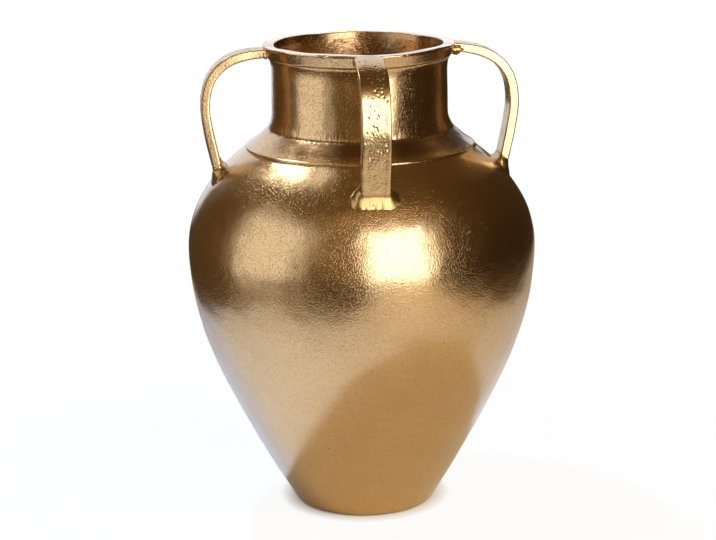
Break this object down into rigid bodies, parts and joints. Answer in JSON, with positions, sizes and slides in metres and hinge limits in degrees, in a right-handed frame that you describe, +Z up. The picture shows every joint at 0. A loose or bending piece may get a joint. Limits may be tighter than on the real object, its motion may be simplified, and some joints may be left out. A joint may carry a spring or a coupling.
{
  "type": "metal vase",
  "caption": "Cast metal amphora-shaped vase with a round belly, collared neck, flat-lipped rim ring and strap handles from rim to shoulder, in an antique gold finish.",
  "frame": {"origin": "on the vase's axis, on the surface that its pads stand on", "axes": "+Z up along the vase's axis; handles on +X (right), +Y (back), -X (left) and -Y (front)"},
  "size_m": [0.2816, 0.2816, 0.38],
  "materials": {
    "cast_body": "sand-cast aluminium with an antique gold finish, satin with a fine orange-peel grain",
    "strap_handle": "sand-cast aluminium with an antique gold finish, polished on the edges and pitted on the face",
    "weld_metal": "lumpy aluminium weld under the same gold finish",
    "felt": "pressed dark felt"
  },
  "bodies": {
    "root": {"lower_belly": "cast_body", "upper_belly": "cast_body", "neck_collar": "cast_body", "rim_ring": "cast_body", "base_plate": "cast_body", "right_handle": "strap_handle", "back_handle": "strap_handle", "left_handle": "strap_handle", "front_handle": "strap_handle", "right_foot_weld": "weld_metal", "back_foot_weld": "weld_metal", "left_foot_weld": "weld_metal", "front_foot_weld": "weld_metal", "right_rim_weld": "weld_metal", "back_rim_weld": "weld_metal", "left_rim_weld": "weld_metal", "front_rim_weld": "weld_metal", "felt_pad_1": "felt", "felt_pad_2": "felt", "felt_pad_3": "felt", "felt_pad_4": "felt"}
  },
  "joints": []
}
